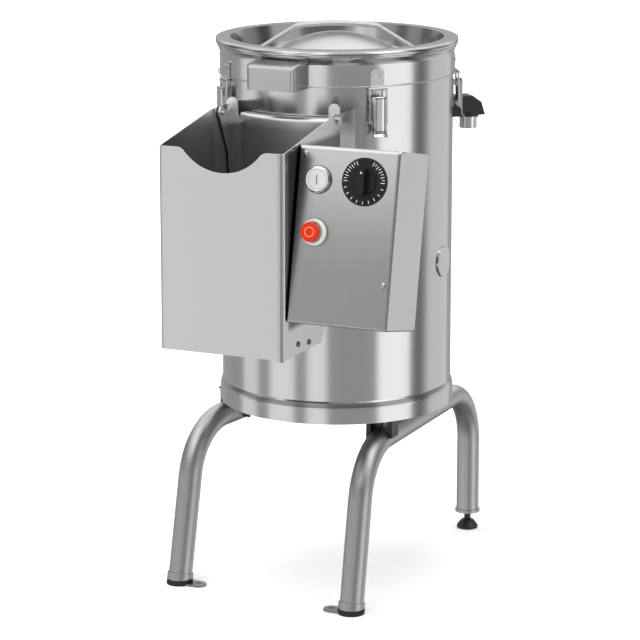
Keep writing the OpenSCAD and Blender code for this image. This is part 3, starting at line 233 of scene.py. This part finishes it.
# Grain: fine lines round the drum, and hardly any on flat sheets
AROUND = (2, 2, 1500)
SMOOTH = (90, 90, 90)
SHEET = (0.585, 0.585, 0.585)
PANEL = (0.6, 0.6, 0.6)
MATERIALS = {
    "drum_steel": brushed("drum_steel", (0.6, 0.6, 0.605), 0.17, AROUND, 0.03, spread=0.03),
    "lid_steel": brushed("lid_steel", (0.68, 0.68, 0.685), 0.14, (40, 40, 40), 0.02, spread=0.02),
    "sheet_steel": brushed("sheet_steel", SHEET, 0.34, SMOOTH, 0.008, spread=0.01),
    "panel_steel": brushed("panel_steel", PANEL, 0.34, SMOOTH, 0.008, spread=0.01),
    "door_steel": brushed("door_steel", (0.6, 0.6, 0.605), 0.36, AROUND, 0.03),
    "tube_steel": brushed("tube_steel", (0.52, 0.52, 0.52), 0.4, (300, 300, 300), 0.03),
    "bright_steel": brushed("bright_steel", (0.65, 0.65, 0.66), 0.3, (60, 60, 60), 0.03),
    "latch_steel": brushed("latch_steel", (0.68, 0.68, 0.69), 0.22, (60, 60, 60), 0.03),
    "chrome": plain("chrome", (0.8, 0.8, 0.81), 0.1, 1.0),
    "cast_iron": plain("cast_iron", (0.2, 0.2, 0.21), 0.55, 0.7),
    "motor_paint": plain("motor_paint", (0.12, 0.14, 0.16), 0.45, 0.0, 0.3),
    "black_paint": plain("black_paint", (0.015, 0.015, 0.015), 0.4),
    "black_plastic": plain("black_plastic", (0.012, 0.012, 0.012), 0.4),
    "black_rubber": plain("black_rubber", (0.015, 0.015, 0.015), 0.7),
    "dial_black": plain("dial_black", (0.008, 0.008, 0.008), 0.4, specular=0.3),
    "white_plastic": plain("white_plastic", (0.72, 0.74, 0.7), 0.35),
    "clear_cap": plain("clear_cap", (0.6, 0.6, 0.59), 0.35, 0.0, 0.3),
    "red_plastic": plain("red_plastic", (0.6, 0.03, 0.002), 0.45, specular=0.2),
    "abrasive": gritty("abrasive", (0.12, 0.11, 0.1)),
}
INK = plain("white_ink", (0.8, 0.8, 0.8), 0.6)
PALE_RED = plain("pale_red_ink", (0.9, 0.35, 0.22), 0.5)
GREY_INK = plain("grey_ink", (0.12, 0.12, 0.12), 0.6)

SLOTS = {part["node"]: part["material_slot"] for part in frame["record"]["subparts"]}
for node, thing in NODES.items():
    thing.data.materials.clear()
    thing.data.materials.append(MATERIALS[SLOTS[node]])


def dress(node, material):
    """Give a CAD node another material than its slot's."""
    NODES[node].data.materials[0] = material


def reach_of(node, direction):
    """How far a node reaches in a direction."""
    return max(vertex.co.dot(Vector(direction)) for vertex in NODES[node].data.vertices)


RIGHT, LEFT, FRONT, UP, DOWN = (1, 0, 0), (-1, 0, 0), (0, -1, 0), (0, 0, 1), (0, 0, -1)
OUTWARD = -Vector(JOINTS["timer_turn"]["axis"])
PANEL_OUT = tuple(OUTWARD)
PANEL_DOWN = tuple(Vector(RIGHT).cross(OUTWARD))
DRUM_AXIS = JOINTS["disc_spin"]["pos_m"]

# Folds: (direction, reach, radius) of the bent edges, whose roundness is in the relief only
chute_folds = [
    (RIGHT, reach_of("chute_side", RIGHT), 9 * MM),
    (FRONT, reach_of("chute_front", FRONT), 5 * MM),
    (LEFT, reach_of("chute_front", LEFT), 3 * MM),
]
chute_steel = brushed("chute_steel", SHEET, 0.24, SMOOTH, 0.008, spread=0.01, folds=chute_folds)
dress("chute_front", chute_steel)

# The door's lip and ears are painted lighter than its sheet: a painted highlight. FAR is
# beyond the object.
LIP_Z, FAR = 697 * MM, 1
paint_light_and_shade_within(
    MATERIALS["door_steel"], -FAR, (-FAR, LIP_Z), (FAR, FAR), factor=1.6, edge=12 * MM
)

# The side wall's outer skin is painted dark beside the control box, to match the photo's
# dark gap. It stands in for shade that this light doesn't give.
side_steel = brushed("side_steel", SHEET, 0.24, SMOOTH, 0.008, spread=0.01, folds=chute_folds)
corner = -reach_of("chute_front", FRONT)
outer_skin = reach_of("chute_side", RIGHT) - 0.5 * MM
box_foot, box_top = -reach_of("box_cover", DOWN), reach_of("box_cover", UP)
paint_light_and_shade_within(
    side_steel, outer_skin, (corner + 10 * MM, box_foot), (FAR, box_top), factor=0.2, edge=8 * MM
)
dress("chute_side", side_steel)

box_folds = [
    (direction, reach_of("box_cover", direction), radius)
    for direction, radius in (
        (RIGHT, 4 * MM), (PANEL_OUT, 2 * MM), (UP, 5 * MM), (PANEL_DOWN, 2.5 * MM),
    )
]
dress("box_cover", brushed("box_steel", PANEL, 0.24, SMOOTH, 0.008, spread=0.01, folds=box_folds))

# The lid's dome is more matt than its trough and rim
LID_TOP, DOME_R = 810.3 * MM, 96 * MM
rim = (reach_of("lid", RIGHT) - DRUM_AXIS[0] - 1 * MM, LID_TOP, 7 * MM)
lid_finish = two_finishes("lid_finish", DRUM_AXIS, DOME_R, (0.68, 0.5), (0.6, 0.16), rim)
dress("lid", lid_finish)

cover_folds = [
    (LEFT, reach_of("switch_cover", LEFT), 5 * MM),
    (RIGHT, reach_of("switch_cover", RIGHT), 7 * MM),
    (UP, reach_of("switch_cover", UP), 6 * MM),
]
cover_steel = brushed(
    "cover_steel", (0.45, 0.45, 0.45), 0.22, SMOOTH, 0.008, spread=0.01, folds=cover_folds
)
dress("switch_cover", cover_steel)

# The levers are channels with rounded long edges
for place in ("front_right", "front_left", "rear_right", "rear_left"):
    lever = "latch_lever_" + place
    hinge = Vector(JOINTS["lever_" + place]["axis"]).normalized()
    sides = [tuple(hinge), tuple(-hinge)]
    folds = [(side, reach_of(lever, side), 7 * MM) for side in sides]
    dress(lever, brushed(lever, (0.7, 0.7, 0.705), 0.15, SMOOTH, 0.01, spread=0.01, folds=folds))

# The caps' solids are taller than the real caps, so only their foot is black
CAP_H = 8 * MM
dress("tube_caps", two_levels("tube_foot", CAP_H, (0.015, 0.7, 0.0), (0.52, 0.4, 1.0)))
# The floor tabs' steel is painted dark: painted shade for undersides that these flat tabs don't have
dress("floor_tabs", plain("tab_steel", (0.3, 0.3, 0.3), 0.4, 1.0))

dress("lid_handle", plain("handle_steel", (0.85, 0.85, 0.855), 0.38, 1.0))
dress("panel_screws", plain("screw_steel", (0.58, 0.58, 0.58), 0.3, 1.0))
dress("chute_screws", plain("chute_screw_steel", (0.3, 0.3, 0.3), 0.22, 1.0))

# The inlet valve's connection is taken as a metal one
NOZZLE_TOP = 17.6 * MM - reach_of("water_valve", DOWN)
valve_finish = two_levels("valve_finish", NOZZLE_TOP, (0.66, 0.25, 1.0), (0.012, 0.4, 0.0))
dress("water_valve", valve_finish)

# ---------------------------------------------------------------- marks on the panel


def mesh_object(name, build, material, body):
    """An object made by build(bmesh), riding on a CAD body."""
    data = bpy.data.meshes.new(name)
    shape = bmesh.new()
    build(shape)
    shape.to_mesh(data)
    shape.free()
    thing = bpy.data.objects.new(name, data)
    bpy.context.scene.collection.objects.link(thing)
    data.materials.append(material)
    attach(thing, body)


class Face:
    """A flat face on the panel: right and up lie in it, out leaves it."""

    def __init__(self, centre, out):
        self.centre = Vector(centre)
        self.out = Vector(out).normalized()
        self.right = Vector((1, 0, 0))
        self.up = self.out.cross(self.right)

    def at(self, x, y, z=0.0):
        return self.centre + self.right * x + self.up * y + self.out * z


def slab(shape, face, outline, thick):
    """A flat piece with that outline, in (x, y) pairs on the face."""
    bottom = [shape.verts.new(face.at(x, y)) for x, y in outline]
    top = [shape.verts.new(face.at(x, y, thick)) for x, y in outline]
    shape.faces.new(list(reversed(bottom)))
    shape.faces.new(top)
    for i in range(len(outline)):
        j = (i + 1) % len(outline)
        shape.faces.new([bottom[i], bottom[j], top[j], top[i]])


def ring_slab(shape, face, r_in, r_out, thick, steps=48):
    """A flat ring on the face."""
    for k in range(steps):
        a, b = 2 * math.pi * k / steps, 2 * math.pi * (k + 1) / steps
        outline = [
            (r * math.sin(angle), r * math.cos(angle))
            for r, angle in ((r_in, a), (r_out, a), (r_out, b), (r_in, b))
        ]
        slab(shape, face, outline[::-1], thick)
    bmesh.ops.remove_doubles(shape, verts=shape.verts, dist=1e-6)


def bar(angle, r0, r1, width):
    """Outline of a radial bar at a clockwise angle from the top."""
    s, c = math.sin(angle), math.cos(angle)
    half = width / 2
    return [
        (r * s + side * half * c, r * c - side * half * s)
        for r, side in ((r0, -1), (r0, 1), (r1, 1), (r1, -1))
    ]


FILM = 0.15 * MM
# The joint's point is 6 mm above the panel, and the scale's face 2 mm above it
scale_face = Face(Vector(JOINTS["timer_turn"]["pos_m"]) - OUTWARD * 4 * MM, OUTWARD)
SCALE_R = 32.5 * MM
# Angles of the ticks, clockwise from the dial's top in degrees: close on both upper sides
CLOSE = [26 + 8 * k for k in range(9)]
TICKS = CLOSE + [108 + 18 * k for k in range(9)] + [360 - angle for angle in CLOSE]


def ticks(shape):
    for k, angle in enumerate(TICKS):
        close = not 100 < angle < 260
        inner = SCALE_R - (8.5 if close and k % 2 == 0 else 6.5) * MM
        outline = bar(math.radians(angle), inner, SCALE_R - 2.5 * MM, 0.8 * MM)
        slab(shape, scale_face, outline, FILM)


mesh_object("dial_ticks", ticks, INK, "machine")

knob_reach = reach_of("timer_knob", OUTWARD)
knob_top = Face(scale_face.centre, OUTWARD)
knob_top.centre += OUTWARD * (knob_reach - scale_face.centre.dot(OUTWARD))


def pointer(shape):
    outline = [(-1.5 * MM, 10.6 * MM), (1.5 * MM, 10.6 * MM), (0, 13.8 * MM)]
    slab(shape, knob_top, outline, FILM)


mesh_object("knob_pointer", pointer, INK, "timer_knob")


def cap_face(node, joint):
    """The outer face of a button, found from the node's farthest vertices."""
    out = -Vector(JOINTS[joint]["axis"])
    places = [vertex.co for vertex in NODES[node].data.vertices]
    reach = max(place.dot(out) for place in places)
    rim = [place for place in places if place.dot(out) > reach - 0.05 * MM]
    return Face(sum(rim, Vector()) / len(rim), out)


start_face = cap_face("start_button", "start_press")
stop_face = cap_face("stop_button", "stop_press")

# A thin dark gasket shows between each button's bezel and the panel
GASKET = plain("gasket", (0.04, 0.045, 0.04), 0.6)
for face, name in ((start_face, "start_gasket"), (stop_face, "stop_gasket")):
    drop = face.centre.dot(OUTWARD) - reach_of("box_cover", OUTWARD)
    foot = Face(face.centre - OUTWARD * drop, OUTWARD)
    mesh_object(
        name,
        lambda shape, foot=foot: ring_slab(shape, foot, 17 * MM, 19.3 * MM, 0.8 * MM),
        GASKET,
        "machine",
    )


def start_mark(shape):
    half_w, half_h = 0.8 * MM, 6.5 * MM
    outline = [(-half_w, -half_h), (half_w, -half_h), (half_w, half_h), (-half_w, half_h)]
    slab(shape, start_face, outline, FILM)


mesh_object("start_mark", start_mark, GREY_INK, "start_button")
mesh_object(
    "stop_mark",
    lambda shape: ring_slab(shape, stop_face, 6.0 * MM, 6.9 * MM, FILM),
    PALE_RED,
    "stop_button",
)


def bead(shape, centre, radius, height, thick, steps=180):
    """A thin round bead that runs round the drum's axis."""
    sides = 10
    rings = []
    for k in range(steps):
        turn = 2 * math.pi * k / steps
        ring = []
        for i in range(sides):
            a = 2 * math.pi * i / sides
            r = radius + thick * math.cos(a)
            x, y = centre[0] + r * math.cos(turn), centre[1] + r * math.sin(turn)
            ring.append(shape.verts.new((x, y, height + thick * math.sin(a))))
        rings.append(ring)
    for k in range(steps):
        here, there = rings[k], rings[(k + 1) % steps]
        for i in range(sides):
            j = (i + 1) % sides
            shape.faces.new([here[i], there[i], there[j], here[j]]).smooth = True


# The collar's lower edge is rolled to a fine bead
COLLAR_R, COLLAR_Z = 173 * MM, 759 * MM
mesh_object(
    "collar_bead",
    lambda shape: bead(shape, DRUM_AXIS, COLLAR_R, COLLAR_Z, 0.9 * MM),
    MATERIALS["latch_steel"],
    "machine",
)

# ---------------------------------------------------------------- studio


# The floor is a little under z = 0, so that no foot lies in the same plane
FLOOR_Z = -0.5 * MM


def floor_plane():
    """The plain pale floor, which the object doesn't mirror."""
    data = bpy.data.meshes.new("floor")
    reach = 30.0
    corners = [(-reach, -reach, 0), (reach, -reach, 0), (reach, reach, 0), (-reach, reach, 0)]
    data.from_pydata(corners, [], [(0, 1, 2, 3)])
    thing = bpy.data.objects.new("floor", data)
    bpy.context.scene.collection.objects.link(thing)
    data.materials.append(plain("floor", (0.75, 0.75, 0.75), 0.9, emission=0.45))
    thing.location.z = FLOOR_Z
    thing.visible_glossy = False


# Tall softboxes round the object: middle and width in degrees, to the right of the
# camera's own side, and brightness. The fifth is a black flag. Between them the room
# is as bright as ROOM, and EDGE is half the width of their soft edges.
CAMERA_SIDE = 24
ROOM = 0.42
EDGE = 2.5
# The backdrop that the camera sees
BACKDROP = 0.93
SOFTBOXES = [
    (-97, 22, 0.95), (-57, 28, 1.08), (-20, 20, 1.1), (60, 38, 1.4), (89, 13, 0.2),
    (125, 46, 0.8),
]
# Sine of the elevation, and how bright the room is there
HEIGHTS = [
    (-1, 0.3), (-0.6, 0.35), (-0.4, 1.0), (-0.05, 1.0), (0.12, 0.36), (0.4, 0.4),
    (0.65, 1.25), (0.85, 2.0),
]
# The large softbox high behind the object: half its width, and its heights
BEHIND = 48
BEHIND_HEIGHTS = [(0.02, 0), (0.12, 0.3), (0.27, 0.38), (0.38, 0.95), (0.7, 0.7), (0.95, 0.2)]


def ramp(nodes, stops):
    """A colour ramp through (place from 0 to 1, brightness) stops, at half scale."""
    node = nodes.new("ShaderNodeValToRGB")
    elements = node.color_ramp.elements
    while len(elements) > 1:
        elements.remove(elements[0])
    for k, (place, brightness) in enumerate(stops):
        element = elements[0] if k == 0 else elements.new(place)
        element.position = place
        element.color = (brightness / 2, brightness / 2, brightness / 2, 1)
    return node


# Two ramps at half scale give a quarter of the brightness when multiplied
FULL_SCALE = 4.0
# Half the width of the soft edge of the softbox behind, as a part of the full turn
BEHIND_EDGE = 0.02


def studio():
    """A room with tall softboxes round the object and a bright ceiling."""
    world = bpy.data.worlds.new("studio")
    world.use_nodes = True
    nodes, links = world.node_tree.nodes, world.node_tree.links
    coords = nodes.new("ShaderNodeTexCoord")
    split = nodes.new("ShaderNodeSeparateXYZ")
    links.new(coords.outputs["Generated"], split.inputs["Vector"])
    front = maths(nodes, links, "MULTIPLY", split.outputs["Y"], -1.0)
    turn = maths(nodes, links, "ARCTAN2", split.outputs["X"], front)
    turn = maths(nodes, links, "SUBTRACT", turn, math.radians(CAMERA_SIDE))
    turn = maths(nodes, links, "DIVIDE", turn, 2 * math.pi)
    turn = maths(nodes, links, "FRACT", maths(nodes, links, "ADD", turn, 0.5))
    stops = [(0, ROOM)]
    for middle, width, brightness in SOFTBOXES:
        low, high = middle - width / 2, middle + width / 2
        for angle, level in (
            (low - EDGE, ROOM), (low + EDGE, brightness),
            (high - EDGE, brightness), (high + EDGE, ROOM),
        ):
            stops.append(((angle + 180) / 360, level))
    around = ramp(nodes, stops)
    links.new(turn, around.inputs["Fac"])
    height = ramp(nodes, [((z + 1) / 2, level) for z, level in HEIGHTS])
    level = maths(nodes, links, "MULTIPLY_ADD", split.outputs["Z"], 0.5, 0.5)
    links.new(level, height.inputs["Fac"])
    both = maths(nodes, links, "MULTIPLY", around.outputs["Color"], height.outputs["Color"])
    both = maths(nodes, links, "MULTIPLY", both, FULL_SCALE)
    side = BEHIND / 360
    near, far = side - BEHIND_EDGE, side + BEHIND_EDGE
    back = ramp(nodes, [(0, 1), (near, 1), (far, 0), (1 - far, 0), (1 - near, 1)])
    links.new(turn, back.inputs["Fac"])
    high = ramp(nodes, [((z + 1) / 2, level) for z, level in BEHIND_HEIGHTS])
    links.new(level, high.inputs["Fac"])
    behind = maths(nodes, links, "MULTIPLY", back.outputs["Color"], high.outputs["Color"])
    both = maths(nodes, links, "MULTIPLY_ADD", behind, FULL_SCALE, both)
    path = nodes.new("ShaderNodeLightPath")
    mix = nodes.new("ShaderNodeMix")
    mix.data_type = "FLOAT"
    links.new(path.outputs["Is Camera Ray"], mix.inputs["Factor"])
    links.new(both, mix.inputs["A"])
    mix.inputs["B"].default_value = BACKDROP
    links.new(mix.outputs["Result"], nodes["Background"].inputs["Strength"])
    nodes["Background"].inputs["Color"].default_value = (1, 1, 1, 1)
    bpy.context.scene.world = world


def sun(place, energy, angle):
    """A wide soft sun that no gloss mirrors. angle is its size in degrees."""
    light = bpy.data.lights.new("sun", "SUN")
    light.energy = energy
    light.angle = math.radians(angle)
    thing = bpy.data.objects.new("sun", light)
    bpy.context.scene.collection.objects.link(thing)
    thing.rotation_euler = (-Vector(place)).to_track_quat("-Z", "Y").to_euler()
    thing.visible_glossy = False


def softbox(place, aim, size, energy):
    """A square softbox close to the object, out of the camera's sight."""
    light = bpy.data.lights.new("softbox", "AREA")
    light.shape = "SQUARE"
    light.size = size
    light.energy = energy
    thing = bpy.data.objects.new("softbox", light)
    bpy.context.scene.collection.objects.link(thing)
    thing.location = place
    thing.rotation_euler = (Vector(aim) - Vector(place)).to_track_quat("-Z", "Y").to_euler()
    thing.visible_camera = False


floor_plane()
studio()
softbox((-0.24, -1.02, 1.02), (0.08, -0.29, 0.6), 0.5, 0.55)
sun((-0.5, -0.6, 1.6), 1.7, 70)
bpy.context.scene.view_settings.view_transform = "Standard"

# The photo's camera, fitted to the drum's ellipses
CAMERA_AT, CAMERA_PITCH, LENS = (1.66704, -3.80133, 1.351), 77.05, 162.65
camera_data = bpy.data.cameras.new("camera")
camera = bpy.data.objects.new("camera", camera_data)
bpy.context.scene.collection.objects.link(camera)
camera_data.sensor_width = 36
camera_data.lens = LENS
camera_data.clip_end = 100
camera.location = CAMERA_AT
camera.rotation_euler = (math.radians(CAMERA_PITCH), 0, math.radians(CAMERA_SIDE))
bpy.context.scene.camera = camera
